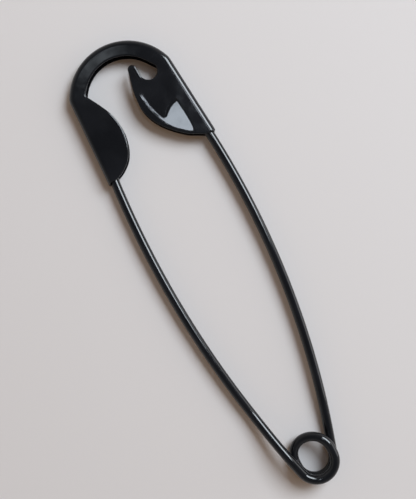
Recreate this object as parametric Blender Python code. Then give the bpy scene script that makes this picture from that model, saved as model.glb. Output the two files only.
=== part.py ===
"""Safety pin, closed and lying on its back: a spring wire with a folded sheet metal cap.

Metres, +Z up, +Y from the coil to the cap, +X towards the fixed arm. The origin lies on
the resting plane, under the middle of the pin's bounding box. The pieces are modelled
about the coil's upright axis, and the empty coil_axis puts that axis in its place.
"""
import math

import bmesh
import bpy
from mathutils import Vector

MM = 0.001

# Wire
WIRE_DIAMETER = 1.93 * MM
POINT_DIAMETER = 0.2 * MM
TAPER_LENGTH = 9.0 * MM
CUT_GAP = 0.3 * MM
ARM_RING_SPACING = 2.0 * MM
TAPER_RING_SPACING = 1.5 * MM
ARM_BEVEL_RESOLUTION = 6

# Coil: two half circles, drawn apart along +Y
COIL_BORE_WIDTH = 5.8 * MM
COIL_STRETCH = 1.05 * MM
TURN_GAP = 0.5 * MM
COIL_POINTS_PER_TURN = 24
GAP_POINTS_PER_TURN = 240
COIL_BEVEL_RESOLUTION = 1

# Arms where they enter the cap, and the length in which they leave the coil's height
MOUTH_DISTANCE = 68.95 * MM
FIXED_ARM_OFFSET = 10.9 * MM
PIN_ARM_OFFSET = 11.0 * MM
FIXED_ARM_LEAN = math.radians(5.7)
PIN_ARM_LEAN = math.radians(4.3)
FIXED_ARM_SEAT = 13.0 * MM
PIN_ARM_SEAT = 14.0 * MM
SETTLE_LENGTH = 15.0 * MM

# Sheet of the cap, and the air between it and the wire
SHEET = 0.3 * MM
PLATE_CLEARANCE = 0.25 * MM
FOLD_CLEARANCE = 0.15 * MM
FOLD_STEPS = 12

# Folded rim of the cap: two straight sides and a round crown
CAP_LENGTH = 25.85 * MM
GUARD_LEAN = math.radians(1.5)
CROWN_BULGE = 0.6 * MM
CROWN_SHIFT = -0.35 * MM
SHOULDER_RADIUS = 3.0 * MM
CROWN_STEPS = 40
SHOULDER_STEPS = 6

# Free edge of the cap: loop, hook notch, tongue and the two lobes
BAND_WIDTH = 3.35 * MM
LOOP_LIFT = 0.33 * MM
CUSP_ANGLE = math.radians(152)
LOOP_END_ANGLE = math.radians(38)
NOTCH_ANGLE = math.radians(24.7)
NOTCH_START_ANGLE = math.radians(8)
NOTCH_RADIUS = 1.87 * MM
NOTCH_BITE = 0.39 * MM
TONGUE_RISE = 1.63 * MM
TONGUE_SLANT = 0.24 * MM
TONGUE_TIP_RADIUS = 0.72 * MM
TONGUE_TIP_TURN = math.radians(170)
GUARD_REACH = 7.53 * MM
LOBE_GAP = 5.24 * MM
LOOP_STEPS = 32
NOTCH_STEPS = 16
EDGE_STEPS = 6

# Pressed panel on the front of the wide lobe
PANEL_DEPTH = 0.12 * MM

OVERRUN = 2.0 * MM

ENAMEL_COLOUR = (0.012, 0.013, 0.016, 1)
ENAMEL_ROUGHNESS = 0.12
SMOOTH_ANGLE = math.radians(30)

# Each lobe's free edge, from the mouth up: shares of its reach in from the rim, and of its height
GUARD_EDGE_SHARES = (
    (0.29, 0.0), (0.53, 0.05), (0.79, 0.15), (0.95, 0.30), (1.0, 0.48), (0.91, 0.67), (0.74, 0.82),
)
SHIELD_EDGE_SHARES = (
    (0.20, 0.0), (0.34, 0.046), (0.51, 0.103), (0.72, 0.217), (0.87, 0.33),
    (0.96, 0.444), (1.0, 0.58), (0.96, 0.75), (0.905, 0.86), (0.84, 0.97),
)
GUARD_WIDEST_SHARE = 0.48
SHIELD_WIDEST_SHARE = 0.58

# The panel's two edges, from its lower tip up, in shares of the wide lobe's reach and height
PANEL_RIM_SIDE_SHARES = (
    (0.378, 0.082), (0.342, 0.120), (0.322, 0.21), (0.315, 0.32), (0.318, 0.45), (0.332, 0.59),
    (0.375, 0.69), (0.505, 0.752), (0.67, 0.795), (0.82, 0.827),
)
PANEL_FREE_SIDE_SHARES = (
    (0.378, 0.082), (0.468, 0.116), (0.553, 0.161), (0.661, 0.220), (0.752, 0.302), (0.815, 0.391),
    (0.860, 0.502), (0.881, 0.60), (0.880, 0.692), (0.82, 0.827),
)

WIRE_RADIUS = WIRE_DIAMETER / 2
COIL_RADIUS = COIL_BORE_WIDTH / 2 + WIRE_RADIUS
COIL_LOWER_CENTRE = Vector((0, -COIL_STRETCH / 2))
COIL_UPPER_CENTRE = Vector((0, COIL_STRETCH / 2))
COIL_PITCH = WIRE_DIAMETER + TURN_GAP
CAP_THICKNESS = WIRE_DIAMETER + 2 * (PLATE_CLEARANCE + SHEET)
CAP_TOP = MOUTH_DISTANCE + CAP_LENGTH


def on_circle(centre, radius, angle):
    """Point at an angle on a circle."""
    return centre + radius * Vector((math.cos(angle), math.sin(angle)))


def arc(centre, radius, start, end, steps):
    """Points along an arc, both ends included."""
    return [on_circle(centre, radius, start + (end - start) * step / steps) for step in range(steps + 1)]


def raised(point, height):
    return Vector((point.x, point.y, height))


def angle_of(vector):
    return math.atan2(vector.y, vector.x)


def smooth_through(points):
    """Points along a smooth curve that passes through each point given."""
    padded = [points[0], *points, points[-1]]
    curve = []
    for before, start, end, after in zip(padded, padded[1:], padded[2:], padded[3:]):
        for step in range(EDGE_STEPS):
            share = step / EDGE_STEPS
            curve.append(0.5 * (
                2 * start + (end - before) * share
                + (2 * before - 5 * start + 4 * end - after) * share ** 2
                + (3 * start - before - 3 * end + after) * share ** 3
            ))
    return [*curve, points[-1]]


class Arm:
    """Plan line of an arm: an arc that leaves the coil's lower half, then straight in the cap."""

    def __init__(self, side, offset, lean):
        self.side = side
        self.lean = lean
        mouth = Vector((offset, MOUTH_DISTANCE)) - COIL_LOWER_CENTRE
        outward = Vector((math.cos(lean), math.sin(lean)))
        reach = mouth.length_squared - COIL_RADIUS ** 2
        self.bow_radius = reach / (2 * (mouth.dot(outward) - COIL_RADIUS))
        from_coil = mouth - self.bow_radius * outward
        self.bow_centre = COIL_LOWER_CENTRE + from_coil
        self.departure = math.atan2(from_coil.y, -from_coil.x)
        self.length = self.bow_radius * (self.departure + lean)

    def at(self, distance):
        """Plan point at a distance along the arm from where it leaves the coil."""
        bent = min(distance, self.length)
        straight = distance - bent
        point = on_circle(self.bow_centre, self.bow_radius, bent / self.bow_radius - self.departure)
        point += straight * Vector((-math.sin(self.lean), math.cos(self.lean)))
        return Vector((self.side * point.x, point.y))


FIXED_ARM = Arm(1, FIXED_ARM_OFFSET, FIXED_ARM_LEAN)
PIN_ARM = Arm(-1, PIN_ARM_OFFSET, PIN_ARM_LEAN)

COIL_LOW = WIRE_RADIUS
COIL_HIGH = COIL_LOW + COIL_PITCH


def coil_centres(points_per_turn):
    """Centre line of the coil, clockwise from the fixed arm: its upper half climbs by a pitch.

    A straight end one wire diameter long leads to each arm.
    """
    halves = (
        (COIL_LOWER_CENTRE, -FIXED_ARM.departure, -math.pi, COIL_LOW, COIL_LOW),
        (COIL_UPPER_CENTRE, math.pi, 0, COIL_LOW, COIL_HIGH),
        (COIL_LOWER_CENTRE, 0, PIN_ARM.departure - math.pi, COIL_HIGH, COIL_HIGH),
    )
    centres = [raised(FIXED_ARM.at(WIRE_DIAMETER), COIL_LOW)]
    for centre, start, end, low, high in halves:
        steps = math.ceil(points_per_turn * (start - end) / (2 * math.pi))
        for step, point in enumerate(arc(centre, COIL_RADIUS, start, end, steps)):
            share = step / steps
            centres.append(raised(point, low + (high - low) * share ** 2 * (3 - 2 * share)))
    centres.append(raised(PIN_ARM.at(WIRE_DIAMETER), COIL_HIGH))
    return centres


def least_coil_gap():
    """Least air between the coil's turns, measured on points along its centre line."""
    centres = coil_centres(GAP_POINTS_PER_TURN)
    half_turn = GAP_POINTS_PER_TURN // 2
    pairs = ((one, other) for index, one in enumerate(centres) for other in centres[index + half_turn:])
    return min((one - other).length for one, other in pairs) - WIRE_DIAMETER


def arm_centres(arm, start_height, seat, end_taper):
    """Centre line of an arm, from its cut at the coil to its end in the cap."""
    start = WIRE_DIAMETER + CUT_GAP
    end = arm.length + seat
    taper_start = end - end_taper
    distances = spaced(start, taper_start, ARM_RING_SPACING)
    if end_taper:
        distances += spaced(taper_start, end, TAPER_RING_SPACING)[1:]
    centres = []
    for distance in distances:
        share = min((distance - start) / SETTLE_LENGTH, 1)
        eased = (1 - math.cos(math.pi * share)) / 2
        height = start_height + (CAP_THICKNESS / 2 - start_height) * eased
        centres.append(raised(arm.at(distance), height))
    return centres, distances


def spaced(start, end, spacing):
    """Even steps from start to end, none longer than the spacing."""
    steps = math.ceil((end - start) / spacing)
    return [start + (end - start) * step / steps for step in range(steps + 1)]


def rim_side(side, offset, lean):
    """Point on a straight side of the rim's outer face at the mouth, and its outward normal."""
    normal = Vector((side * math.cos(lean), math.sin(lean)))
    seat = Vector((side * offset, MOUTH_DISTANCE))
    return seat + (WIRE_RADIUS + FOLD_CLEARANCE + SHEET) * normal, normal


RIM_SIDES = {
    -1: rim_side(-1, PIN_ARM_OFFSET, GUARD_LEAN),
    1: rim_side(1, FIXED_ARM_OFFSET, FIXED_ARM_LEAN),
}


def rim_at(side, height, inset=0.0):
    """Point of a straight side, moved in by the inset, at a height along +Y."""
    foot, normal = RIM_SIDES[side]
    moved = foot - inset * normal
    slant = -normal.y / normal.x
    return Vector((moved.x + slant * (height - moved.y), height))


def half_width(height):
    return (rim_at(1, height).x - rim_at(-1, height).x) / 2


# The crown's radius follows the rim's width at the height of the crown's own centre
WIDENING = (math.tan(GUARD_LEAN) + math.tan(FIXED_ARM_LEAN)) / 2
CROWN_RADIUS = (half_width(CAP_TOP) + CROWN_BULGE) / (1 - WIDENING)
CROWN_HEIGHT = CAP_TOP - CROWN_RADIUS
CROWN_CENTRE = (rim_at(-1, CROWN_HEIGHT) + rim_at(1, CROWN_HEIGHT)) / 2 + Vector((CROWN_SHIFT, 0))


def shoulder_centre(side):
    """Centre of the round corner between a straight side and the crown."""
    foot, normal = RIM_SIDES[side]
    upward = side * Vector((-normal.y, normal.x))
    across = (foot - CROWN_CENTRE).dot(normal) - SHOULDER_RADIUS
    along = math.sqrt((CROWN_RADIUS - SHOULDER_RADIUS) ** 2 - across ** 2)
    return CROWN_CENTRE + across * normal + along * upward


def rim_path(inset, end_height):
    """Rim's outer line moved in by the inset, from the guard's end over the crown to the other."""
    left, right = shoulder_centre(-1), shoulder_centre(1)
    left_normal = angle_of(RIM_SIDES[-1][1])
    right_normal = angle_of(RIM_SIDES[1][1])
    left_turn = angle_of(left - CROWN_CENTRE)
    right_turn = angle_of(right - CROWN_CENTRE)
    return [
        rim_at(-1, end_height, inset),
        *arc(left, SHOULDER_RADIUS - inset, left_normal, left_turn, SHOULDER_STEPS),
        *arc(CROWN_CENTRE, CROWN_RADIUS - inset, left_turn, right_turn, CROWN_STEPS)[1:-1],
        *arc(right, SHOULDER_RADIUS - inset, right_turn, right_normal, SHOULDER_STEPS),
        rim_at(1, end_height, inset),
    ]


LOOP_RADIUS = CROWN_RADIUS - BAND_WIDTH - LOOP_LIFT
LOOP_CENTRE = CROWN_CENTRE + Vector((0, LOOP_LIFT))
CUSP = on_circle(LOOP_CENTRE, LOOP_RADIUS, CUSP_ANGLE)
NOTCH_CENTRE = on_circle(LOOP_CENTRE, LOOP_RADIUS - NOTCH_RADIUS + NOTCH_BITE, NOTCH_ANGLE)
TONGUE_TIP_CENTRE = NOTCH_CENTRE + Vector((-NOTCH_RADIUS - TONGUE_SLANT - TONGUE_TIP_RADIUS, TONGUE_RISE))
GUARD_HEIGHT = CUSP.y - MOUTH_DISTANCE
SHIELD_HEIGHT = TONGUE_TIP_CENTRE.y - MOUTH_DISTANCE


def shield_reach():
    """Reach of the wide lobe, which leaves the gap between the lobes open."""
    guard_edge = rim_at(-1, MOUTH_DISTANCE + GUARD_WIDEST_SHARE * GUARD_HEIGHT).x + GUARD_REACH
    shield_rim = rim_at(1, MOUTH_DISTANCE + SHIELD_WIDEST_SHARE * SHIELD_HEIGHT).x
    return shield_rim - guard_edge - LOBE_GAP


SHIELD_REACH = shield_reach()


def lobe_points(side, reach, height, shares):
    """Plan points of a lobe from shares of its reach and height."""
    points = []
    for across_share, up_share in shares:
        rim = rim_at(side, MOUTH_DISTANCE + up_share * height)
        points.append(rim - Vector((side * across_share * reach, 0)))
    return points


def cap_outline():
    """Plan outline that trims the plates: true on the free edge, clear of the rim elsewhere."""
    guard = lobe_points(-1, GUARD_REACH, GUARD_HEIGHT, GUARD_EDGE_SHARES)
    shield = lobe_points(1, SHIELD_REACH, SHIELD_HEIGHT, SHIELD_EDGE_SHARES)
    tip = arc(TONGUE_TIP_CENTRE, TONGUE_TIP_RADIUS, 0, TONGUE_TIP_TURN, NOTCH_STEPS)
    low_left = rim_at(-1, MOUTH_DISTANCE, -OVERRUN)
    low_right = rim_at(1, MOUTH_DISTANCE, -OVERRUN)
    return [
        low_left,
        *smooth_through([*guard, CUSP]),
        *arc(LOOP_CENTRE, LOOP_RADIUS, CUSP_ANGLE, LOOP_END_ANGLE, LOOP_STEPS)[1:],
        *arc(NOTCH_CENTRE, NOTCH_RADIUS, NOTCH_START_ANGLE, -math.pi, NOTCH_STEPS),
        *tip[:-1],
        *smooth_through([tip[-1], *reversed(shield)]),
        low_right,
        Vector((low_right.x, CAP_TOP + OVERRUN)),
        Vector((low_left.x, CAP_TOP + OVERRUN)),
    ]


def panel_outline():
    """Plan outline of the pressed panel."""
    rim_edge = lobe_points(1, SHIELD_REACH, SHIELD_HEIGHT, PANEL_RIM_SIDE_SHARES)
    free_edge = lobe_points(1, SHIELD_REACH, SHIELD_HEIGHT, PANEL_FREE_SIDE_SHARES)
    return smooth_through(rim_edge)[:-1] + smooth_through(free_edge)[:0:-1]


def enamel(name):
    """Gloss black enamel, with a slight blue in it."""
    material = bpy.data.materials.new(name)
    material.use_nodes = True
    shader = material.node_tree.nodes["Principled BSDF"]
    shader.inputs["Base Color"].default_value = ENAMEL_COLOUR
    shader.inputs["Roughness"].default_value = ENAMEL_ROUGHNESS
    return material


def add_object(name, data, parent):
    item = bpy.data.objects.new(name, data)
    bpy.context.collection.objects.link(item)
    item.parent = parent
    return item


def add_wire(name, centres, radii, bevel_resolution, parent):
    """Closed tube of wire along its centre line, with a radius at each point."""
    curve = bpy.data.curves.new(name, "CURVE")
    curve.dimensions = "3D"
    curve.twist_mode = "Z_UP"
    curve.bevel_depth = WIRE_RADIUS
    curve.bevel_resolution = bevel_resolution
    curve.use_fill_caps = True
    spline = curve.splines.new("POLY")
    spline.points.add(len(centres) - 1)
    for point, centre, radius in zip(spline.points, centres, radii):
        point.co = (*centre, 1)
        point.radius = radius / WIRE_RADIUS
    wire = add_object(name, curve, parent)
    curve.materials.append(enamel(name + "_enamel"))
    return wire


def solid_from(name, vertices, faces, parent):
    """Closed mesh with its faces turned outwards."""
    solid = bmesh.new()
    corners = [solid.verts.new(vertex) for vertex in vertices]
    for face in faces:
        solid.faces.new([corners[index] for index in face])
    bmesh.ops.recalc_face_normals(solid, faces=solid.faces)
    mesh = bpy.data.meshes.new(name)
    solid.to_mesh(mesh)
    solid.free()
    return add_object(name, mesh, parent)


def prism(name, outline, low, high, parent):
    """Upright prism over a plan outline."""
    count = len(outline)
    vertices = [(*point, height) for height in (low, high) for point in outline]
    walls = [(i, (i + 1) % count, count + (i + 1) % count, count + i) for i in range(count)]
    return solid_from(name, vertices, [range(count), range(count, 2 * count), *walls], parent)


def pillow(name, inset, end_height, parent):
    """Cap's full plan, less the inset all over, with a half-round edge along the rim."""
    half = CAP_THICKNESS / 2 - inset
    rings = []
    for step in range(FOLD_STEPS + 1):
        angle = math.pi * (step / FOLD_STEPS - 0.5)
        height = CAP_THICKNESS / 2 + half * math.sin(angle)
        path = rim_path(inset + half * (1 - math.cos(angle)), end_height)
        rings.append([(*point, height) for point in path])
    count = len(rings[0])
    faces = [range(count), range(FOLD_STEPS * count, (FOLD_STEPS + 1) * count)]
    for ring in range(FOLD_STEPS):
        low = ring * count
        high = low + count
        faces += [(low + i, low + i + 1, high + i + 1, high + i) for i in range(count - 1)]
    starts = [ring * count for ring in range(FOLD_STEPS + 1)]
    ends = [ring * count + count - 1 for ring in reversed(range(FOLD_STEPS + 1))]
    faces.append(starts + ends)
    vertices = [vertex for ring in rings for vertex in ring]
    return solid_from(name, vertices, faces, parent)


def cut(item, cutter, operation):
    """Live Boolean with a cutter that stays out of the part."""
    cutter.hide_render = True
    cutter.display_type = "WIRE"
    modifier = item.modifiers.new(cutter.name, "BOOLEAN")
    modifier.operation = operation
    modifier.object = cutter


def add_fixed_arm(parent):
    centres, distances = arm_centres(FIXED_ARM, COIL_LOW, FIXED_ARM_SEAT, 0)
    add_wire("fixed_arm", centres, [WIRE_RADIUS] * len(distances), ARM_BEVEL_RESOLUTION, parent)


def add_spring_coil(parent):
    centres = coil_centres(COIL_POINTS_PER_TURN)
    add_wire("spring_coil", centres, [WIRE_RADIUS] * len(centres), COIL_BEVEL_RESOLUTION, parent)
    print(f"least gap between the coil's turns: {least_coil_gap() / MM:.2f} mm")


def add_pin_arm(parent):
    """Moving arm, ground to a point: the taper's last stretch is the steepest."""
    centres, distances = arm_centres(PIN_ARM, COIL_HIGH, PIN_ARM_SEAT, TAPER_LENGTH)
    point_radius = POINT_DIAMETER / 2
    radii = []
    for distance in distances:
        left = min((distances[-1] - distance) / TAPER_LENGTH, 1)
        radii.append(point_radius + (WIRE_RADIUS - point_radius) * math.sin(left * math.pi / 2))
    add_wire("pin_arm", centres, radii, ARM_BEVEL_RESOLUTION, parent)


def add_clasp_cap(parent):
    """Folded cap: hollow, closed along its rim and open along its free edge."""
    cap = pillow("clasp_cap", 0, MOUTH_DISTANCE - OVERRUN, parent)
    cavity = pillow("cap_cavity_cutter", SHEET, MOUTH_DISTANCE - 2 * OVERRUN, parent)
    outline = prism("cap_outline_cutter", cap_outline(), -OVERRUN, CAP_THICKNESS + OVERRUN, parent)
    panel_floor = CAP_THICKNESS - PANEL_DEPTH
    panel = prism("cap_panel_cutter", panel_outline(), panel_floor, CAP_THICKNESS + OVERRUN, parent)
    cut(cap, cavity, "DIFFERENCE")
    cut(cap, outline, "INTERSECT")
    cut(cap, panel, "DIFFERENCE")
    cap.data.materials.append(enamel("clasp_cap_enamel"))
    cap.data.shade_smooth()
    cap.data.set_sharp_from_angle(angle=SMOOTH_ANGLE)


def middle_of_plan():
    """Middle of the pin's plan extents, seen from the coil's axis."""
    wires = [
        *coil_centres(COIL_POINTS_PER_TURN),
        *arm_centres(FIXED_ARM, COIL_LOW, FIXED_ARM_SEAT, 0)[0],
        *arm_centres(PIN_ARM, COIL_HIGH, PIN_ARM_SEAT, TAPER_LENGTH)[0],
    ]
    rim = rim_path(0, MOUTH_DISTANCE)
    low_x = min(min(point.x for point in wires) - WIRE_RADIUS, min(point.x for point in rim))
    high_x = max(max(point.x for point in wires) + WIRE_RADIUS, max(point.x for point in rim))
    low_y = min(point.y for point in wires) - WIRE_RADIUS
    return Vector(((low_x + high_x) / 2, (low_y + CAP_TOP) / 2, 0))


def build():
    for item in list(bpy.data.objects):
        bpy.data.objects.remove(item, do_unlink=True)
    coil_axis = add_object("coil_axis", None, None)
    coil_axis.location = -middle_of_plan()
    add_fixed_arm(coil_axis)
    add_spring_coil(coil_axis)
    add_pin_arm(coil_axis)
    add_clasp_cap(coil_axis)


build()
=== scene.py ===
"""Safety pin in gloss black enamel: spring wire with a coil, and a folded sheet cap.

Laid out as a Blender add-on and run as a script. Every piece is built about the coil's upright
axis, in metres, with +Y from the coil to the cap and +Z out of the front face, and is then
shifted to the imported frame's origin.
"""
import math

import bpy
import numpy as np
from bpy.props import FloatProperty, FloatVectorProperty, IntProperty, PointerProperty
from mathutils import Matrix, Vector
from mathutils.geometry import delaunay_2d_cdt


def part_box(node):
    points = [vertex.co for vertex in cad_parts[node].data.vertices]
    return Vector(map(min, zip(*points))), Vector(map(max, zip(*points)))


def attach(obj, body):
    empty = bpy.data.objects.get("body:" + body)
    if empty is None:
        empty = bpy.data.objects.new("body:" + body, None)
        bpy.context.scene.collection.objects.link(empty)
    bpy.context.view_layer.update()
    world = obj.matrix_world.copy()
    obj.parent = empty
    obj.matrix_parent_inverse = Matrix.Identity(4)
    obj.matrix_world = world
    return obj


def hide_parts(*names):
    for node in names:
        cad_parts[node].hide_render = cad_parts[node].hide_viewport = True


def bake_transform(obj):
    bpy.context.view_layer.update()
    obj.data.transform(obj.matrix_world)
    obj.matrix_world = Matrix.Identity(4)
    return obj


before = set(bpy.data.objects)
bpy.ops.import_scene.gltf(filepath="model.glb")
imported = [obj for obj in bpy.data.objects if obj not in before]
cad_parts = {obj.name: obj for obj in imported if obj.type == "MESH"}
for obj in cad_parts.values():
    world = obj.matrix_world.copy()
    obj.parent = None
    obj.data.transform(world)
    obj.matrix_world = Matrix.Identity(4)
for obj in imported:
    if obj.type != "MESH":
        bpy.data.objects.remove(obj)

bl_info = {
    "name": "Safety Pin",
    "version": (1, 0, 0),
    "blender": (4, 5, 0),
    "location": "View3D > Sidebar > Safety Pin",
    "description": "Builds a safety pin of enamelled wire and folded sheet, with its studio",
    "category": "Add Mesh",
}

MM = 0.001


def number(name, description, default, **settings):
    return FloatProperty(name=name, description=description, default=default, **settings)


def length(name, description, millimetres):
    return number(name, description, millimetres * MM, unit="LENGTH", precision=5)


def angle(name, description, degrees):
    return number(name, description, math.radians(degrees), subtype="ANGLE", unit="ROTATION")


def share(name, description, default):
    return number(name, description, default, subtype="FACTOR")


def count(name, description, default):
    return IntProperty(name=name, description=description, default=default, min=1)


def colour(name, description, default, most=1):
    return FloatVectorProperty(
        name=name, description=description, default=default, subtype="COLOR", size=len(default),
        min=0, max=most,
    )


class PinWireSizes(bpy.types.PropertyGroup):
    diameter: length("Wire diameter", "Thickness of the spring wire", 1.93)
    point_diameter: length("Point diameter", "Thickness of the ground point's tip", 0.2)
    taper_length: length("Taper length", "Length of the ground point", 9.0)
    bore_width: length("Bore width", "Width of the coil's eye", 5.8)
    stretch: length("Coil stretch", "How far the coil's halves are drawn apart", 1.05)
    turn_gap: length("Turn gap", "Air between the coil's turns", 0.5)
    mouth_distance: length("Mouth distance", "From the coil's axis to the cap's mouth", 68.95)
    fixed_offset: length(
        "Fixed arm offset", "Fixed arm's distance from the axis at the mouth", 10.9
    )
    pin_offset: length("Pin arm offset", "Pin arm's distance from the axis at the mouth", 11.0)
    fixed_lean: angle("Fixed arm lean", "Slant of the fixed arm at the mouth", 5.7)
    pin_lean: angle("Pin arm lean", "Slant of the pin arm at the mouth", 4.3)
    fixed_seat: length("Fixed arm seat", "Length of the fixed arm in the cap", 13.0)
    pin_seat: length("Pin arm seat", "Length of the pin arm in the cap", 14.0)
    settle_length: length("Settle length", "Length in which an arm leaves the coil's height", 15.0)
    end_rounding: length("End rounding", "Rounding of the fixed arm's cut end", 0.25)
    ring_spacing: length("Ring spacing", "Distance between the wire's rings", 0.35)
    profile_points: count("Profile points", "Points round the wire", 48)
    path_steps: count("Path steps", "Centre line points on each half turn and arm", 96)


class ClaspCapSizes(bpy.types.PropertyGroup):
    sheet: length("Sheet", "Thickness of the sheet metal", 0.3)
    plate_clearance: length("Plate clearance", "Air between the wire and each plate", 0.25)
    fold_clearance: length("Fold clearance", "Air between the wire and the fold", 0.15)
    cap_length: length("Cap length", "From the mouth to the crown's top", 25.85)
    guard_lean: angle("Guard lean", "Slant of the guard's rim", 1.5)
    crown_bulge: length("Crown bulge", "How far the crown stands wider than the sides", 0.6)
    crown_shift: length("Crown shift", "Sideways shift of the crown", -0.35)
    shoulder_radius: length("Shoulder radius", "Corner between a side and the crown", 3.0)
    band_width: length("Band width", "Width of the band round the loop", 3.35)
    loop_lift: length("Loop lift", "Loop's centre above the crown's", 0.33)
    cusp_angle: angle("Cusp angle", "Where the guard's edge meets the loop", 152)
    loop_end_angle: angle("Loop end angle", "Where the loop meets the hook notch", 38)
    notch_angle: angle("Notch angle", "Direction of the hook notch from the loop's centre", 24.7)
    notch_start_angle: angle("Notch start angle", "Where the notch's arc begins", 8)
    notch_radius: length("Notch radius", "Radius of the hook notch", 1.87)
    notch_bite: length("Notch bite", "How far the notch cuts past the loop", 0.39)
    tongue_rise: length("Tongue rise", "Tongue's tip above the notch's centre", 1.69)
    tongue_slant: length("Tongue slant", "Sideways slant of the tongue", 0.06)
    tongue_tip_radius: length("Tongue tip radius", "Rounding of the tongue's tip", 0.9)
    tongue_tip_turn: angle("Tongue tip turn", "Turn of the tongue's tip", 170)
    guard_reach: length("Guard reach", "Reach of the guard lobe", 7.53)
    lobe_gap: length("Lobe gap", "Gap between the lobes", 5.24)
    edge_width: length("Edge width", "Width of the rounding along the free edge", 0.34)
    edge_depth: length("Edge depth", "Depth of the rounding along the free edge", 0.2)
    inner_edge: length("Inner edge", "Rounding of the free edge's inner side", 0.06)
    corner_softness: length("Corner softness", "How far the outline's corners are softened", 0.12)
    edge_spacing: length("Edge spacing", "Distance between points on the free edge", 0.16)
    guard_tab: length("Guard tab", "How far the guard's fold reaches past its plates", 0.5)
    panel_depth: length("Panel depth", "Depth of the pressed panel's floor", 0.049)
    panel_fade: length("Panel fade", "Length in which the panel runs out at its top", 4.2)
    panel_lip: length("Panel lip", "Width of the rounding at the panel's rim side", 0.16)
    strip_width: length("Strip width", "Width of the slope along the panel's free side", 0.8)
    facet_slope: share("Facet slope", "Slope of the facet at the panel's lower tip", 0.061)
    facet_lip: length("Facet lip", "Width of the rounding at the facet's free side", 0.2)
    facet_fade: length("Facet fade", "Width of the step from the facet to the floor", 0.8)
    fold_corner: length("Fold corner", "Outer radius of the folded rim's two corners", 1.2)
    corner_steps: count("Corner steps", "Steps round each of the fold's corners", 16)
    crown_steps: count("Crown steps", "Steps along the crown", 96)


class EnamelLook(bpy.types.PropertyGroup):
    deep: colour("Deep colour", "Enamel where it is thick", (0.0045, 0.0048, 0.0058, 1))
    thin: colour("Thin colour", "Enamel where it is thin", (0.0085, 0.009, 0.0108, 1))
    dust: colour("Dust colour", "Fine dust on the enamel", (0.16, 0.155, 0.15, 1))
    gloss: share("Roughness", "Least roughness of the enamel", 0.05)
    haze: share("Haze", "Most roughness, where handling has dulled it", 0.12)
    cloud_size: length("Cloud size", "Size of the thick and thin places", 7)
    mark_size: length("Mark size", "Size of the handling marks", 2.6)
    speck_size: length("Speck size", "Size of the dust's specks", 0.16)
    ripple_size: length("Ripple size", "Size of the enamel's ripples", 2.4)
    ripple: share("Ripple", "Strength of the enamel's ripples", 0.006)
    dust_amount: share("Dust amount", "How much of the dust's colour its specks show", 0.1)
    dust_roughness: share("Dust roughness", "How much the dust dulls the gloss", 0.6)


class StudioLook(bpy.types.PropertyGroup):
    floor: colour("Floor colour", "Colour of the plain floor", (0.66, 0.652, 0.66, 1))
    floor_size: length("Floor size", "Side of the floor", 1000)
    floor_drop: length("Floor drop", "Air under the pin, so that no faces coincide", 0.02)
    floor_roughness: share("Floor roughness", "Roughness of the floor", 0.9)
    floor_shine: share("Floor shine", "Specular level of the floor", 0.1)
    camera_height: length("Camera height", "Camera's height above the floor", 156)
    camera_side: length("Camera side", "Camera's place across the pin", -0.31)
    camera_along: length("Camera along", "Camera's place along the pin", 3.06)
    camera_roll: angle("Camera roll", "How far the pin leans to the left in the picture", 26.87)
    lens: number("Lens", "Focal length in millimetres for a 36 mm long side", 54.11)
    power: number("Power", "Power that the softboxes take their shares of", 7.7, unit="POWER")
    lamp_distance: length("Lamp distance", "Distance of the softboxes from the pin", 800)
    zenith: colour("Ceiling colour", "Light from straight above", (0.085, 0.09, 0.105))
    horizon: colour("Horizon colour", "Light from the sides", (0.4, 0.39, 0.39))
    warmth: colour("Warmth", "Tint of the sky's light in the shadows", (1.35, 0.92, 0.58), most=2)


GROUPS = (
    ("pin_wire", PinWireSizes),
    ("clasp_cap", ClaspCapSizes),
    ("pin_enamel", EnamelLook),
    ("pin_studio", StudioLook),
)

# Each lobe's free edge, from the mouth up: shares of its reach in from the rim, and of its height
GUARD_EDGE_SHARES = (
    (0.29, 0.0), (0.53, 0.05), (0.79, 0.15), (0.95, 0.30), (1.0, 0.48), (0.91, 0.67), (0.74, 0.82),
)
SHIELD_EDGE_SHARES = (
    (0.20, 0.0), (0.34, 0.046), (0.51, 0.103), (0.72, 0.217), (0.87, 0.33),
    (0.96, 0.444), (1.0, 0.58), (0.96, 0.75), (0.905, 0.86), (0.84, 0.97),
)
GUARD_WIDEST_SHARE = 0.48
SHIELD_WIDEST_SHARE = 0.58

# The panel's two edges, from its lower tip up, in shares of the wide lobe's reach and height
PANEL_RIM_SIDE_SHARES = (
    (0.378, 0.082), (0.342, 0.120), (0.322, 0.21), (0.315, 0.32), (0.318, 0.45), (0.332, 0.59),
    (0.375, 0.69), (0.505, 0.752), (0.67, 0.795), (0.82, 0.827),
)
PANEL_FREE_SIDE_SHARES = (
    (0.378, 0.082), (0.468, 0.116), (0.553, 0.161), (0.661, 0.220), (0.752, 0.302), (0.815, 0.391),
    (0.860, 0.502), (0.881, 0.60), (0.880, 0.692), (0.82, 0.827),
)

# Where the panel's facet ends, as plan places about the coil's axis in millimetres, and its fall
FACET_END = (
    (2.6, 77.6), (3.3, 76.2), (3.9, 75.6), (4.5, 76.0), (5.2, 76.75), (6.1, 77.5), (6.9, 77.9),
    (8.0, 78.2), (9.4, 78.4),
)
FACET_FALL = (0.96, 0.28)

# Softboxes: direction, side as a share of their distance, share of the power, tint and stretch
LAMPS = (
    ("key_softbox", (0.675, 0.25, 0.695), 0.54, 0.95, (0.86, 0.935, 1), 1.0),
    ("pale_wall", (0.93, -0.25, 0.27), 0.62, 0.16, (0.97, 0.98, 1), 1.0),
    ("panel_softbox", (0.167, 0.232, 1), 0.095, 0.026, (0.8, 0.89, 1), 1.0),
    ("crown_glow", (-0.021, 0.352, 1), 0.078, 0.0008, (0.84, 0.93, 1), 0.36),
)

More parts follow.
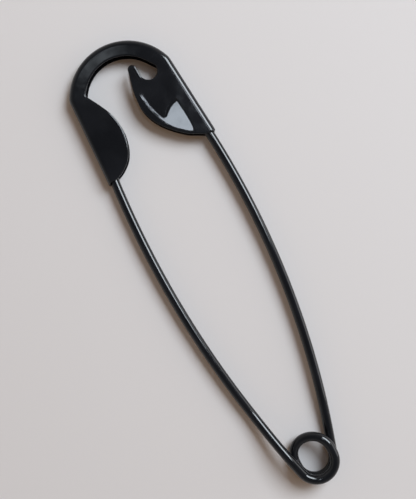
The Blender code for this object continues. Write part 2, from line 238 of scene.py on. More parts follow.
# Between which of its values each noise counts, and how the patterns differ from piece to piece
CLOUD_RANGE = (0.35, 0.65)
SPECK_RANGE = (0.66, 0.78)
MARK_RANGE = (0.38, 0.7)
PATTERN_STEP = (0.013, 0.007, 0.003)

CEILING_RANGE = (0.25, 0.95)  # heights between which the sky's light fades to the ceiling's
SENSOR_WIDTH = 36  # millimetres
CLIP_START = 5 * MM
NODE_SPACING = (190, 170)

CURVE_STEPS = 12
SHOULDER_STEPS = 14
SIDE_STEPS = 16
NOTCH_STEPS = 40
PANEL_ROWS = 110
PANEL_COLUMNS = 64
EDGE_ROUND_STEPS = 6
INNER_ROUND_STEPS = 2

BEND_SHARE = 0.75  # most of a bend's radius that the free edge's rounding takes
WIDTH_PASSES = 6  # times that the rounding's width is evened out along the edge
TAB_POWER = 4  # how fast the guard's tab falls off from the fold's outermost line
FILL_ENCLOSED = 2  # the triangulation's output type: only what the loops enclose
FILL_EPSILON = 1e-7

UP = Vector((0, 0, 1))
DOWN = Vector((0, 0, -1))


def on_circle(centre, radius, turn):
    """Point at an angle on a circle."""
    return centre + radius * Vector((math.cos(turn), math.sin(turn)))


def arc(centre, radius, start, end, steps):
    """Points along an arc, both ends included."""
    turns = (start + (end - start) * step / steps for step in range(steps + 1))
    return [on_circle(centre, radius, turn) for turn in turns]


def angle_of(vector):
    return math.atan2(vector.y, vector.x)


def raised(point, height):
    return Vector((point.x, point.y, height))


def smooth_through(points):
    """Points along a smooth curve that passes through each point given."""
    padded = [points[0], *points, points[-1]]
    curve = []
    for before, start, end, after in zip(padded, padded[1:], padded[2:], padded[3:]):
        for step in range(CURVE_STEPS):
            t = step / CURVE_STEPS
            curve.append(0.5 * (
                2 * start + (end - before) * t
                + (2 * before - 5 * start + 4 * end - after) * t ** 2
                + (3 * start - before - 3 * end + after) * t ** 3
            ))
    return [*curve, points[-1]]


def evenly(points, spacing=None, pieces=None):
    """The same line with points an even distance apart, ends kept."""
    line = np.array([tuple(point) for point in points])
    run = np.concatenate([[0], np.cumsum(np.linalg.norm(np.diff(line, axis=0), axis=1))])
    pieces = pieces or max(int(round(run[-1] / spacing)), 2)
    marks = np.linspace(0, run[-1], pieces + 1)
    return np.stack([np.interp(marks, run, values) for values in line.T], axis=1)


def softened(line, spacing, softness):
    """The line with its corners rounded, ends kept."""
    line = line.copy()
    for _ in range(round(2 * (softness / spacing) ** 2)):
        line[1:-1] = (line[:-2] + 2 * line[1:-1] + line[2:]) / 4
    return line


def is_within(place, loop):
    """Whether a plan place lies within a closed line."""
    crossings = 0
    for start, end in zip(loop, [*loop[1:], *loop[:1]]):
        if (start.y > place.y) != (end.y > place.y):
            reach = start.x + (place.y - start.y) * (end.x - start.x) / (end.y - start.y)
            crossings += place.x < reach
    return crossings % 2 == 1


def eased(t):
    """Smooth step from 0 to 1."""
    t = np.clip(t, 0, 1)
    return t * t * (3 - 2 * t)


class Arm:
    """Plan line of an arm: an arc that leaves the coil's lower half, then straight in the cap."""

    def __init__(self, wire, side, offset, lean):
        self.side, self.lean = side, lean
        self.coil_radius = (wire.bore_width + wire.diameter) / 2
        lower_centre = Vector((0, -wire.stretch / 2))
        mouth = Vector((offset, wire.mouth_distance)) - lower_centre
        outward = Vector((math.cos(lean), math.sin(lean)))
        reach = mouth.length_squared - self.coil_radius ** 2
        self.bow_radius = reach / (2 * (mouth.dot(outward) - self.coil_radius))
        from_coil = mouth - self.bow_radius * outward
        self.bow_centre = lower_centre + from_coil
        self.departure = math.atan2(from_coil.y, -from_coil.x)
        self.length = self.bow_radius * (self.departure + lean)

    def at(self, distance):
        """Plan point at a distance along the arm from where it leaves the coil."""
        bent = min(distance, self.length)
        straight = distance - bent
        point = on_circle(self.bow_centre, self.bow_radius, bent / self.bow_radius - self.departure)
        point += straight * Vector((-math.sin(self.lean), math.cos(self.lean)))
        return Vector((self.side * point.x, point.y))


class PinPlan:
    """Lines of the pin that follow from the sizes: the wire's path and the cap's rim and edge."""

    def __init__(self, scene):
        wire, cap = scene.pin_wire, scene.clasp_cap
        self.wire, self.cap = wire, cap
        self.mouth = wire.mouth_distance
        self.radius = wire.diameter / 2
        self.thickness = wire.diameter + 2 * (cap.plate_clearance + cap.sheet)
        self.top = self.mouth + cap.cap_length
        self.fixed = Arm(wire, 1, wire.fixed_offset, wire.fixed_lean)
        self.pin = Arm(wire, -1, wire.pin_offset, wire.pin_lean)
        self.coil_low = self.radius
        self.coil_high = self.coil_low + wire.diameter + wire.turn_gap
        wall = self.radius + cap.fold_clearance + cap.sheet
        self.sides = {}
        for side, offset, lean in (
            (-1, wire.pin_offset, cap.guard_lean), (1, wire.fixed_offset, wire.fixed_lean),
        ):
            normal = Vector((side * math.cos(lean), math.sin(lean)))
            foot = Vector((side * offset, self.mouth)) + wall * normal
            self.sides[side] = (foot, normal)
        widening = (math.tan(cap.guard_lean) + math.tan(wire.fixed_lean)) / 2
        half_width = (self.rim_at(1, self.top).x - self.rim_at(-1, self.top).x) / 2
        self.crown_radius = (half_width + cap.crown_bulge) / (1 - widening)
        height = self.top - self.crown_radius
        middle = (self.rim_at(-1, height) + self.rim_at(1, height)) / 2
        self.crown_centre = middle + Vector((cap.crown_shift, 0))
        self.shift = self.shift_to_frame()

    def rim_at(self, side, height, inset=0.0):
        """Point of a straight side, moved in by the inset, at a height along +Y."""
        foot, normal = self.sides[side]
        moved = foot - inset * normal
        slant = -normal.y / normal.x
        return Vector((moved.x + slant * (height - moved.y), height))

    def shoulder_centre(self, side):
        """Centre of the round corner between a straight side and the crown."""
        foot, normal = self.sides[side]
        upward = side * Vector((-normal.y, normal.x))
        across = (foot - self.crown_centre).dot(normal) - self.cap.shoulder_radius
        along = math.sqrt((self.crown_radius - self.cap.shoulder_radius) ** 2 - across ** 2)
        return self.crown_centre + across * normal + along * upward

    def rim_path(self, inset, left_height, right_height):
        """Rim's line moved in by the inset, from the guard over the crown, with its normals."""
        left, right = self.shoulder_centre(-1), self.shoulder_centre(1)
        left_normal, right_normal = self.sides[-1][1], self.sides[1][1]
        left_turn = angle_of(left - self.crown_centre)
        right_turn = angle_of(right - self.crown_centre)
        shoulder = self.cap.shoulder_radius - inset
        crown = self.crown_radius - inset
        points, normals = [], []

        def side_run(start, end, normal, last):
            for step in range(last):
                points.append(start.lerp(end, step / SIDE_STEPS))
                normals.append(normal)

        def turn(centre, radius, start, end, steps):
            for step in range(steps):
                now = start + (end - start) * step / steps
                points.append(on_circle(centre, radius, now))
                normals.append(Vector((math.cos(now), math.sin(now))))

        left_angle, right_angle = angle_of(left_normal), angle_of(right_normal)
        left_end = on_circle(left, shoulder, left_angle)
        right_end = on_circle(right, shoulder, right_angle)
        side_run(self.rim_at(-1, left_height, inset), left_end, left_normal, SIDE_STEPS)
        turn(left, shoulder, left_angle, left_turn, SHOULDER_STEPS)
        turn(self.crown_centre, crown, left_turn, right_turn, self.cap.crown_steps)
        turn(right, shoulder, right_turn, right_angle, SHOULDER_STEPS)
        side_run(right_end, self.rim_at(1, right_height, inset), right_normal, SIDE_STEPS + 1)
        return points, normals

    def lobe_points(self, side, reach, height, shares):
        """Plan points of a lobe from shares of its reach and height."""
        return [
            self.rim_at(side, self.mouth + up * height) - Vector((side * across * reach, 0))
            for across, up in shares
        ]

    def free_edge(self):
        """Free edge of a plate, from the guard's fold at the mouth to the wide lobe's fold."""
        cap, mouth = self.cap, self.mouth
        loop_radius = self.crown_radius - cap.band_width - cap.loop_lift
        loop_centre = self.crown_centre + Vector((0, cap.loop_lift))
        cusp = on_circle(loop_centre, loop_radius, cap.cusp_angle)
        notch_distance = loop_radius - cap.notch_radius + cap.notch_bite
        notch_centre = on_circle(loop_centre, notch_distance, cap.notch_angle)
        tip_side = -cap.notch_radius - cap.tongue_slant - cap.tongue_tip_radius
        tip_centre = notch_centre + Vector((tip_side, cap.tongue_rise))
        guard_height = cusp.y - mouth
        self.shield_height = tip_centre.y - mouth
        guard_edge = self.rim_at(-1, mouth + GUARD_WIDEST_SHARE * guard_height).x + cap.guard_reach
        shield_rim = self.rim_at(1, mouth + SHIELD_WIDEST_SHARE * self.shield_height).x
        self.shield_reach = shield_rim - guard_edge - cap.lobe_gap
        guard = self.lobe_points(-1, cap.guard_reach, guard_height, GUARD_EDGE_SHARES)
        shield = self.lobe_points(1, self.shield_reach, self.shield_height, SHIELD_EDGE_SHARES)
        tip = arc(tip_centre, cap.tongue_tip_radius, 0, cap.tongue_tip_turn, NOTCH_STEPS)
        return [
            self.rim_at(-1, mouth, cap.fold_corner),
            *smooth_through([*guard, cusp]),
            *arc(loop_centre, loop_radius, cap.cusp_angle, cap.loop_end_angle, cap.crown_steps)[1:],
            *arc(notch_centre, cap.notch_radius, cap.notch_start_angle, -math.pi, NOTCH_STEPS),
            *tip[:-1],
            *smooth_through([tip[-1], *reversed(shield)]),
            self.rim_at(1, mouth, cap.fold_corner),
        ]

    def panel_edges(self):
        """The panel's rim side and free side, from its lower tip to its upper tip."""
        return [
            smooth_through(self.lobe_points(1, self.shield_reach, self.shield_height, shares))
            for shares in (PANEL_RIM_SIDE_SHARES, PANEL_FREE_SIDE_SHARES)
        ]

    def coil_path(self):
        """Centre line of the coil, clockwise from the fixed arm: its upper half climbs."""
        wire, steps = self.wire, self.wire.path_steps
        lower, upper = Vector((0, -wire.stretch / 2)), Vector((0, wire.stretch / 2))
        low, high = self.coil_low, self.coil_high
        halves = (
            (lower, -self.fixed.departure, -math.pi, low, low),
            (upper, math.pi, 0, low, high),
            (lower, 0, self.pin.departure - math.pi, high, high),
        )
        path = [raised(self.fixed.at(wire.diameter), low)]
        for centre, start, end, start_height, end_height in halves:
            for step, point in enumerate(arc(centre, self.pin.coil_radius, start, end, steps)):
                climb = eased(step / steps)
                path.append(raised(point, start_height + (end_height - start_height) * climb))
        path.append(raised(self.pin.at(wire.diameter), high))
        return path

    def arm_path(self, arm, start_height, seat):
        """Centre line of an arm, from the coil's end to its own end in the cap."""
        wire = self.wire
        start, end = wire.diameter, arm.length + seat
        path = []
        for step in range(wire.path_steps + 1):
            distance = start + (end - start) * step / wire.path_steps
            run = min((distance - start) / wire.settle_length, 1)
            rise = (1 - math.cos(math.pi * run)) / 2
            height = start_height + (self.thickness / 2 - start_height) * rise
            path.append(raised(arm.at(distance), height))
        return path

    def shift_to_frame(self):
        """Move that takes places about the coil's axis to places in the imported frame."""
        _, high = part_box("clasp_cap")
        rim, _ = self.rim_path(0, self.mouth, self.mouth)
        return Vector((high.x - max(point.x for point in rim), high.y - self.top, 0))


def link_to_scene(item):
    bpy.context.scene.collection.objects.link(item)
    return item


def feed(tree, socket, value):
    """Link an output to an input, or set the input's own value."""
    if isinstance(value, bpy.types.NodeSocket):
        tree.links.new(value, socket)
    else:
        socket.default_value = value


def node_at(tree, kind, column, row, inputs=(), **settings):
    """New node at a place in the tree, with its settings and then its inputs."""
    node = tree.nodes.new(kind)
    node.location = (column * NODE_SPACING[0], -row * NODE_SPACING[1])
    for key, value in settings.items():
        setattr(node, key, value)
    for key, value in dict(inputs).items():
        feed(tree, node.inputs[key], value)
    return node


def math_node(tree, operation, column, row, *values):
    """Result of a math node whose inputs are outputs or numbers."""
    inputs = enumerate(values)
    return node_at(tree, "ShaderNodeMath", column, row, inputs, operation=operation).outputs[0]


def mix_node(tree, column, row, factor, low, high, blend_type="MIX"):
    """Colour between two outputs or colours."""
    return node_at(
        tree, "ShaderNodeMix", column, row, {"Factor": factor, "A": low, "B": high},
        data_type="RGBA", blend_type=blend_type,
    ).outputs["Result"]


def wire_tree():
    """Geometry Nodes tree that draws round wire along a path, ground to a point at its far end."""
    tree = bpy.data.node_groups.new("wire_along_path", "GeometryNodeTree")
    sockets = (
        ("Path", "Geometry"), ("Wire Radius", "Float"), ("Point Radius", "Float"),
        ("Taper Length", "Float"), ("Ring Spacing", "Float"), ("Profile Points", "Int"),
        ("Material", "Material"),
    )
    for name, kind in sockets:
        tree.interface.new_socket(name, in_out="INPUT", socket_type="NodeSocket" + kind)
    tree.interface.new_socket("Wire", in_out="OUTPUT", socket_type="NodeSocketGeometry")
    start = node_at(tree, "NodeGroupInput", -4, 0).outputs

    def geometry(kind, column, row, inputs=(), **settings):
        return node_at(tree, "GeometryNode" + kind, column, row, inputs, **settings).outputs

    line = geometry("MeshToCurve", -3, 0, {0: start["Path"]})[0]
    spaced = {"Curve": line, "Length": start["Ring Spacing"]}
    rings = geometry("ResampleCurve", -2, 0, spaced, mode="LENGTH")[0]
    along = geometry("SplineParameter", -3, 2)["Length"]
    whole = geometry("SplineLength", -3, 3)["Length"]
    left = math_node(tree, "SUBTRACT", -2, 2, whole, along)
    stretch = math_node(tree, "DIVIDE", -1, 2, left, start["Taper Length"])
    held = math_node(tree, "MINIMUM", 0, 2, stretch, 1.0)
    quarter = math_node(tree, "MULTIPLY", 1, 2, held, math.pi / 2)
    rounding = math_node(tree, "SINE", 2, 2, quarter)
    growth = math_node(tree, "SUBTRACT", -1, 3, start["Wire Radius"], start["Point Radius"])
    grown = math_node(tree, "MULTIPLY", 3, 2, growth, rounding)
    radius = math_node(tree, "ADD", 4, 2, start["Point Radius"], grown)
    sized = geometry("SetCurveRadius", 5, 0, {"Curve": rings, "Radius": radius})[0]
    upright = geometry("SetCurveNormal", 6, 0, {"Curve": sized}, mode="Z_UP")[0]
    circle = {"Radius": 1.0, "Resolution": start["Profile Points"]}
    profile = geometry("CurvePrimitiveCircle", 5, 3, circle)["Curve"]
    scale = geometry("InputRadius", 6, 2)[0]
    tube = geometry("CurveToMesh", 7, 0, {
        "Curve": upright, "Profile Curve": profile, "Scale": scale, "Fill Caps": True,
    })[0]
    smooth = geometry("SetShadeSmooth", 8, 0, {"Geometry": tube})[0]
    coat = {"Geometry": smooth, "Material": start["Material"]}
    coated = geometry("SetMaterial", 9, 0, coat)[0]
    node_at(tree, "NodeGroupOutput", 10, 0, {0: coated})
    return tree


def draw_wire(name, path, plan, taper, material):
    """Wire along a path about the coil's axis: a plain mesh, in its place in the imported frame."""
    line = bpy.data.meshes.new(name + "_path")
    points = [tuple(point + plan.shift) for point in path]
    line.from_pydata(points, [(i, i + 1) for i in range(len(points) - 1)], [])
    guide = link_to_scene(bpy.data.objects.new(name + "_guide", line))
    tree = bpy.data.node_groups.get("wire_along_path") or wire_tree()
    modifier = guide.modifiers.new("wire", "NODES")
    modifier.node_group = tree
    values = {
        "Wire Radius": plan.radius, "Point Radius": taper[0], "Taper Length": taper[1],
        "Ring Spacing": plan.wire.ring_spacing, "Profile Points": plan.wire.profile_points,
        "Material": material,
    }
    for item in tree.interface.items_tree:
        if item.in_out == "INPUT" and item.name in values:
            modifier[item.identifier] = values[item.name]
    bpy.context.view_layer.update()
    evaluated = guide.evaluated_get(bpy.context.evaluated_depsgraph_get())
    mesh = bpy.data.meshes.new_from_object(evaluated)
    mesh.name = name
    bpy.data.objects.remove(guide, do_unlink=True)
    if not mesh.polygons:
        raise RuntimeError(name + ": the wire has no faces")
    return link_to_scene(bpy.data.objects.new(name, mesh))


def enamel(name, look, seed):
    """Gloss black enamel with faint ripples, cloudy handling marks and a little dust."""
    material = bpy.data.materials.new(name)
    material.use_nodes = True
    tree = material.node_tree
    place = node_at(tree, "ShaderNodeTexCoord", -9, 0).outputs["Object"]
    shift = [seed * step for step in PATTERN_STEP]
    moved = node_at(tree, "ShaderNodeMapping", -8, 0, {"Vector": place, "Location": shift})

    def noise(row, size, detail, roughness=0.5):
        return node_at(tree, "ShaderNodeTexNoise", -7, row, {
            "Vector": moved.outputs[0], "Scale": 1 / size, "Detail": detail, "Roughness": roughness,
        }).outputs[0]

    def between(row, value, values, results):
        return node_at(tree, "ShaderNodeMapRange", -6, row, {
            "Value": value, "From Min": values[0], "From Max": values[1],
            "To Min": results[0], "To Max": results[1],
        }).outputs[0]

    cloud = between(0, noise(0, look.cloud_size, detail=3), CLOUD_RANGE, (0, 1))
    grain = noise(2, look.speck_size, detail=2, roughness=0.7)
    specks = between(2, grain, SPECK_RANGE, (0, look.dust_amount))
    marks = noise(4, look.mark_size, detail=4)
    handled = between(4, marks, MARK_RANGE, (look.gloss, look.haze))
    body = mix_node(tree, -4, 0, cloud, look.deep, look.thin)
    dulled = math_node(tree, "MULTIPLY", -4, 3, specks, look.dust_roughness)
    ripples = node_at(tree, "ShaderNodeBump", -3, 6, {
        "Strength": look.ripple, "Distance": look.ripple_size,
        "Height": noise(6, look.ripple_size, detail=1),
    })
    inputs = tree.nodes["Principled BSDF"].inputs
    feed(tree, inputs["Base Color"], mix_node(tree, -3, 0, specks, body, look.dust))
    feed(tree, inputs["Roughness"], math_node(tree, "ADD", -3, 3, handled, dulled))
    feed(tree, inputs["Normal"], ripples.outputs[0])
    return material


class SheetSurface:
    """Vertices, the ways they face and faces, gathered before they become a mesh."""

    def __init__(self):
        self.points, self.facing, self.exact, self.faces = [], [], [], []

    def add(self, point, facing, exact=True):
        """New vertex. Where it isn't exact, the way it faces only tells outside from inside."""
        self.points.append(Vector(point))
        self.facing.append(facing)
        self.exact.append(exact)
        return len(self.points) - 1

    def add_face(self, corners):
        """Face turned the way that its vertices face."""
        places = [self.points[corner] for corner in corners]
        across = (places[2] - places[0]).cross(places[-1] - places[1])
        outwards = sum((self.facing[corner] for corner in corners), Vector())
        self.faces.append(corners if across.dot(outwards) > 0 else corners[::-1])

    def grid(self, rows):
        """Faces between rows of vertices of one length, triangles where two vertices are one."""
        for low, high in zip(rows, rows[1:]):
            for i in range(len(low) - 1):
                face = list(dict.fromkeys((low[i], low[i + 1], high[i + 1], high[i])))
                if len(face) > 2:
                    self.add_face(face)

    def fill(self, loops):
        """Flat fill between an outer loop of vertices and the hole in it, if there is one."""
        verts, edges = [], []
        for loop in loops:
            start = len(verts)
            verts += loop
            edges += [(start + i, start + (i + 1) % len(loop)) for i in range(len(loop))]
        places = [self.points[v].to_2d() / MM for v in verts]
        _, _, faces, originals, _, _ = delaunay_2d_cdt(
            places, edges, [], FILL_ENCLOSED, FILL_EPSILON
        )
        hole = places[len(loops[0]):]
        for face in faces:
            corners = [originals[corner][0] for corner in face]
            middle = sum((places[corner] for corner in corners), Vector((0, 0))) / len(face)
            if not is_within(middle, hole):
                self.add_face([verts[corner] for corner in corners])

    def mesh(self, name, shift):
        """Finished mesh, moved by the shift, with faces outwards and the true normals kept."""
        mesh = bpy.data.meshes.new(name)
        mesh.from_pydata(self.points, [], self.faces)
        mesh.transform(Matrix.Translation(shift))
        mesh.update()
        mesh.shade_smooth()
        mesh.normals_split_custom_set_from_vertices([
            facing if exact else vertex.normal.copy()
            for facing, exact, vertex in zip(self.facing, self.exact, mesh.vertices)
        ])
        return mesh


class CapBuilder:
    """Folded sheet of the cap: outer skin, inner skin and the rounded edge between them."""

    def __init__(self, plan):
        self.plan = plan
        self.cap = plan.cap
        self.surface = SheetSurface()
        self.half = plan.thickness / 2
        self.edge = self.edge_line()

    def edge_line(self):
        """Softened free edge: places, inward directions and the width of the rounding there."""
        cap = self.cap
        line = evenly(self.plan.free_edge(), cap.edge_spacing)
        line = evenly(softened(line, cap.edge_spacing, cap.corner_softness), cap.edge_spacing)
        ahead = np.gradient(line, axis=0)
        ahead /= np.linalg.norm(ahead, axis=1)[:, None]
        inward = np.stack([-ahead[:, 1], ahead[:, 0]], axis=1)
        bend = np.gradient(np.unwrap(np.arctan2(ahead[:, 1], ahead[:, 0]))) / cap.edge_spacing
        limit = np.where(bend > 0, BEND_SHARE / np.maximum(bend, 1), cap.edge_width)
        width = np.minimum(limit, cap.edge_width)
        for _ in range(WIDTH_PASSES):
            even = (width[:-2] + 2 * width[1:-1] + width[2:]) / 4
            width[1:-1] = np.minimum(width[1:-1], even)
        return line, inward, width

    def tab(self, side, out):
        """How far the fold's end passes the plates, where its normal points out by a share."""
        return self.cap.guard_tab * out ** TAB_POWER if side < 0 else 0

    def fold_section(self, offset=0.0):
        """The fold's section from the front plate to the back one: insets, heights and normals."""
        corner, steps = self.cap.fold_corner, self.cap.corner_steps
        section = []
        for side, order in ((1, range(steps + 1)), (-1, range(steps, -1, -1))):
            for step in order:
                turn = math.pi / 2 * step / steps
                out, up = math.sin(turn), side * math.cos(turn)
                height = self.half + side * (self.half - corner) + (corner - offset) * up
                section.append((corner - (corner - offset) * out, height, out, up))
        return section

    def skin(self, offset, start, inward):
        """Both plates and the fold between them, the offset inside the outer face.

        The start is how far the skin stands back from the sheet's own edge.
        """
        surface, sign = self.surface, -1 if inward else 1
        mouth = self.plan.mouth + start
        rows = []
        for inset, height, out, up in self.fold_section(offset):
            path, normals = self.plan.rim_path(inset, mouth - self.tab(-1, out), mouth)
            rows.append([
                surface.add(raised(point, height), sign * raised(normal * out, up))
                for point, normal in zip(path, normals)
            ])
        surface.grid(rows)
        line, inward_way, width = self.edge
        places = line + inward_way * (width / self.cap.edge_width * start)[:, None]
        plates = []
        for way in (UP, DOWN):
            height = self.half + way.z * (self.half - offset)
            plates.append([surface.add((*place, height), sign * way) for place in places[1:-1]])
        return rows, plates

    def panel_depths(self, rim_side, free_side):
        """Places of the pressed panel's grid, and its depth there: a floor with a facet below."""
        cap = self.cap
        even = np.linspace(0, 1, PANEL_COLUMNS + 1)
        across = (even + (1 - np.cos(math.pi * even)) / 2) / 2
        places = rim_side[:, None, :] + across[None, :, None] * (free_side - rim_side)[:, None, :]
        from_free = self.least_distance(places, free_side)
        from_rim = self.least_distance(places, rim_side)
        # The floor slopes almost evenly down from the free side, and then runs level
        strip = np.clip(from_free / cap.strip_width, 0, 1)
        floor = cap.panel_depth * (4 * strip - strip ** 4) / 3
        floor *= eased((free_side[:, 1].max() - places[..., 1]) / cap.panel_fade)
        fall = places @ FACET_FALL - (free_side @ FACET_FALL).min()
        facet = cap.facet_slope * fall * eased(from_free / cap.facet_lip)
        end_x, end_y = np.array(FACET_END).T * MM
        beyond = places[..., 1] - np.interp(places[..., 0], end_x, end_y)
        in_facet = 1 - eased(beyond / cap.facet_fade + 0.5)
        depth = (floor + (facet - floor) * in_facet) * eased(from_rim / cap.panel_lip)
        return places, depth

    @staticmethod
    def least_distance(places, line):
        """Least distance from each place to the points of a line."""
        gaps = places[:, :, None, :] - line[None, None, :, :]
        return np.sqrt((gaps ** 2).sum(axis=3).min(axis=2))

    def panel(self, offset, inward):
        """Pressed panel on one skin of the front plate, and the loop of vertices round it."""
        surface, sign = self.surface, -1 if inward else 1
        rim_side, free_side = (evenly(line, pieces=PANEL_ROWS) for line in self.plan.panel_edges())
        places, depth = self.panel_depths(rim_side, free_side)
        level = self.plan.thickness - offset
        rows, last = [], len(places) - 1
        for i, (row, depths) in enumerate(zip(places, depth)):
            if i in (0, last):
                rows.append([surface.add((*row[0], level), sign * UP)] * len(row))
                continue
            line = []
            for j, (place, drop) in enumerate(zip(row, depths)):
                on_edge = j in (0, len(row) - 1)
                height = level if on_edge else level - drop
                line.append(surface.add((*place, height), sign * UP, exact=on_edge))
            rows.append(line)
        surface.grid(rows)
        return [row[0] for row in rows] + [row[-1] for row in rows[-2:0:-1]]

    def edge_samples(self):
        """Places on the sheet's own edge, all round it, with inward and outward directions."""
        plan, cap = self.plan, self.cap
        line, inward_way, width = self.edge
        flats = [
            (Vector((*place, 0)), Vector((*way, 0)), float(wide))
            for place, way, wide in list(zip(line, inward_way, width))[1:-1]
        ]
        samples = [(raised(place, plan.thickness), way, UP, wide) for place, way, wide in flats]
        section = self.fold_section()
        for side, order in ((1, section), (-1, section[::-1])):
            _, side_normal = plan.sides[side]
            ring = []
            for inset, height, out, up in order:
                place = plan.rim_at(side, plan.mouth - self.tab(side, out), inset)
                normal = raised(side_normal * out, up)
                way = Vector((0, 1, 0))
                way = (way - way.dot(normal) * normal).normalized()
                ring.append((raised(place, height), way, normal, cap.edge_width))
            samples += ring
            if side > 0:
                samples += [(place, way, DOWN, wide) for place, way, wide in reversed(flats)]
        return samples

    def build(self):
        cap, surface = self.cap, self.surface
        skins = [self.skin(0, cap.edge_width, False), self.skin(cap.sheet, cap.inner_edge, True)]
        for (rows, plates), offset in zip(skins, (0, cap.sheet)):
            hole = self.panel(offset, offset > 0)
            surface.fill([rows[0] + plates[0][::-1], hole])
            surface.fill([rows[-1] + plates[1][::-1]])
        self.rounded_edge(*(self.ring_of(rows, plates) for rows, plates in skins))
        return surface.mesh("clasp_cap_sheet", self.plan.shift)

    @staticmethod
    def ring_of(rows, plates):
        """A skin's own boundary, in the order of the edge's samples."""
        right = [row[-1] for row in rows]
        left = [row[0] for row in reversed(rows)]
        return plates[0] + right + plates[1][::-1] + left

    def rounded_edge(self, outer_ring, inner_ring):
        """Strip from the outer skin to the inner one: a wide soft round, then a narrow one."""
        cap, surface = self.cap, self.surface
        samples = self.edge_samples()
        rings = [outer_ring]
        for step in range(1, EDGE_ROUND_STEPS + 1):
            turn = math.pi / 2 * step / EDGE_ROUND_STEPS
            ring = []
            for place, way, normal, wide in samples:
                back = wide * (1 - math.sin(turn))
                down = cap.edge_depth * (1 - math.cos(turn))
                facing = normal * (math.cos(turn) / cap.edge_depth) - way * (math.sin(turn) / wide)
                ring.append(surface.add(place + back * way - down * normal, facing.normalized()))
            rings.append(ring)
        for step in range(INNER_ROUND_STEPS):
            turn = math.pi / 2 * step / INNER_ROUND_STEPS
            ring = []
            for place, way, normal, wide in samples:
                back = cap.inner_edge * wide / cap.edge_width * (1 - math.cos(turn))
                down = cap.sheet - cap.inner_edge * (1 - math.sin(turn))
                facing = -way * math.cos(turn) - normal * math.sin(turn)
                ring.append(surface.add(place + back * way - down * normal, facing.normalized()))
            rings.append(ring)
        surface.grid([ring + ring[:1] for ring in (*rings, inner_ring)])


class FixedArmOperator(bpy.types.Operator):
    """Wire arm that is clasped in the wide lobe's fold"""

    bl_idname = "safety_pin.fixed_arm"
    bl_label = "Fixed Arm"

    def execute(self, context):
        plan = PinPlan(context.scene)
        material = enamel("fixed_arm_enamel", context.scene.pin_enamel, 1)
        path = plan.arm_path(plan.fixed, plan.coil_low, plan.wire.fixed_seat)
        taper = (plan.radius - plan.wire.end_rounding, plan.wire.end_rounding)
        arm = draw_wire("fixed_arm_wire", path, plan, taper, material)
        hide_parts("fixed_arm")
        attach(arm, "cap_and_coil")
        return {"FINISHED"}


class CoilOperator(bpy.types.Operator):
    """Turn and a half of wire between the arms, drawn at rest; on the real pin it winds up as the
    pin arm swings
    """

    bl_idname = "safety_pin.spring_coil"
    bl_label = "Spring Coil"

    def execute(self, context):
        plan = PinPlan(context.scene)
        material = enamel("spring_coil_enamel", context.scene.pin_enamel, 2)
        taper = (plan.radius, plan.wire.end_rounding)
        coil = draw_wire("spring_coil_wire", plan.coil_path(), plan, taper, material)
        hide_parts("spring_coil")
        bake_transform(coil)
        return {"FINISHED"}


class PinArmOperator(bpy.types.Operator):
    """Moving wire arm with its ground point, held in the guard lobe's fold"""

    bl_idname = "safety_pin.pin_arm"
    bl_label = "Pin Arm"

    def execute(self, context):
        plan = PinPlan(context.scene)
        material = enamel("pin_arm_enamel", context.scene.pin_enamel, 3)
        path = plan.arm_path(plan.pin, plan.coil_high, plan.wire.pin_seat)
        taper = (plan.wire.point_diameter / 2, plan.wire.taper_length)
        arm = draw_wire("pin_arm_wire", path, plan, taper, material)
        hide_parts("pin_arm")
        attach(arm, "pin")
        return {"FINISHED"}


class ClaspCapOperator(bpy.types.Operator):
    """Folded sheet cap with its guard lobe, wide lobe, hook tongue and loop"""

    bl_idname = "safety_pin.clasp_cap"
    bl_label = "Clasp Cap"

    def execute(self, context):
        mesh = CapBuilder(PinPlan(context.scene)).build()
        mesh.materials.append(enamel("clasp_cap_enamel", context.scene.pin_enamel, 4))
        cap = link_to_scene(bpy.data.objects.new("clasp_cap_sheet", mesh))
        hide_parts("clasp_cap")
        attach(cap, "cap_and_coil")
        return {"FINISHED"}


def add_softbox(studio, name, direction, side, power, tint, stretch):
    """Square or stretched softbox that faces the pin from a direction."""
    lamp = bpy.data.lights.new(name, "AREA")
    lamp.shape = "RECTANGLE"
    lamp.size = side * studio.lamp_distance
    lamp.size_y = lamp.size * stretch
    lamp.energy = power * studio.power
    lamp.color = tint
    item = link_to_scene(bpy.data.objects.new(name, lamp))
    way = Vector(direction).normalized()
    item.location = way * studio.lamp_distance
    item.rotation_euler = way.to_track_quat("Z", "Y").to_euler()


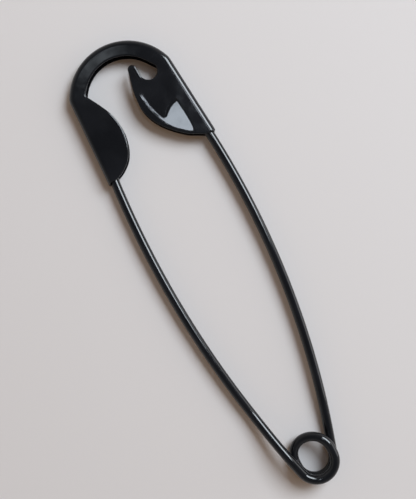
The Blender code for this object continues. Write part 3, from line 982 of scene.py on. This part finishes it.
class StudioOperator(bpy.types.Operator):
    """Plain pale floor, soft lights, world and the camera over the pin"""

    bl_idname = "safety_pin.studio"
    bl_label = "Studio"

    def execute(self, context):
        studio = context.scene.pin_studio
        self.add_floor(studio)
        self.add_world(context.scene, studio)
        for lamp in LAMPS:
            add_softbox(studio, *lamp)
        self.add_camera(context.scene, studio)
        context.scene.view_settings.view_transform = "Standard"
        return {"FINISHED"}

    def add_floor(self, studio):
        half = studio.floor_size / 2
        mesh = bpy.data.meshes.new("studio_floor")
        ways = ((-1, -1), (1, -1), (1, 1), (-1, 1))
        corners = [(x * half, y * half, -studio.floor_drop) for x, y in ways]
        mesh.from_pydata(corners, [], [(0, 1, 2, 3)])
        material = bpy.data.materials.new("floor_cloth")
        material.use_nodes = True
        inputs = material.node_tree.nodes["Principled BSDF"].inputs
        inputs["Base Color"].default_value = studio.floor
        inputs["Roughness"].default_value = studio.floor_roughness
        inputs["Specular IOR Level"].default_value = studio.floor_shine
        mesh.materials.append(material)
        floor = link_to_scene(bpy.data.objects.new("studio_floor", mesh))

    def add_world(self, scene, studio):
        """Light that fades from the sides to the ceiling, behind a plain pale backdrop."""
        world = bpy.data.worlds.new("studio_world")
        scene.world = world
        world.use_nodes = True
        tree = world.node_tree
        place = node_at(tree, "ShaderNodeTexCoord", -6, 0).outputs["Generated"]
        height = node_at(tree, "ShaderNodeSeparateXYZ", -5, 0, {0: place}).outputs["Z"]
        low, high = CEILING_RANGE
        fade = node_at(
            tree, "ShaderNodeMapRange", -4, 0, {"Value": height, "From Min": low, "From Max": high},
            interpolation_type="SMOOTHSTEP",
        ).outputs[0]
        sky = mix_node(tree, -3, 0, fade, (*studio.horizon, 1), (*studio.zenith, 1))
        rays = node_at(tree, "ShaderNodeLightPath", -3, 2).outputs
        warmth = (*studio.warmth, 1)
        warmed = mix_node(tree, -2, -1, rays["Is Diffuse Ray"], sky, warmth, "MULTIPLY")
        seen = mix_node(tree, -2, 0, rays["Is Camera Ray"], warmed, studio.floor)
        feed(tree, tree.nodes["Background"].inputs["Color"], seen)

    def add_camera(self, scene, studio):
        camera = bpy.data.cameras.new("photo_camera")
        camera.sensor_width = SENSOR_WIDTH
        camera.lens = studio.lens
        camera.clip_start = CLIP_START
        item = link_to_scene(bpy.data.objects.new("photo_camera", camera))
        item.location = (studio.camera_side, studio.camera_along, studio.camera_height)
        item.rotation_euler = (0, 0, -studio.camera_roll)
        scene.camera = item


class SafetyPinPanel(bpy.types.Panel):
    bl_idname = "VIEW3D_PT_safety_pin"
    bl_label = "Safety Pin"
    bl_space_type = "VIEW_3D"
    bl_region_type = "UI"
    bl_category = "Safety Pin"

    def draw(self, context):
        for operator in OPERATORS:
            self.layout.operator(operator.bl_idname)
        for name, group in GROUPS:
            box = self.layout.box()
            box.label(text=name.replace("_", " ").title())
            for key in group.__annotations__:
                box.prop(getattr(context.scene, name), key)


OPERATORS = (FixedArmOperator, CoilOperator, PinArmOperator, ClaspCapOperator, StudioOperator)


def register():
    for name, group in GROUPS:
        bpy.utils.register_class(group)
        setattr(bpy.types.Scene, name, PointerProperty(type=group))
    for item in (*OPERATORS, SafetyPinPanel):
        bpy.utils.register_class(item)


def unregister():
    for item in reversed((*OPERATORS, SafetyPinPanel)):
        bpy.utils.unregister_class(item)
    for name, group in reversed(GROUPS):
        delattr(bpy.types.Scene, name)
        bpy.utils.unregister_class(group)


def main():
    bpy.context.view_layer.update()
    register()
    bpy.ops.safety_pin.fixed_arm()
    bpy.ops.safety_pin.spring_coil()
    bpy.ops.safety_pin.pin_arm()
    bpy.ops.safety_pin.clasp_cap()
    bpy.ops.safety_pin.studio()


if __name__ == "__main__":
    main()
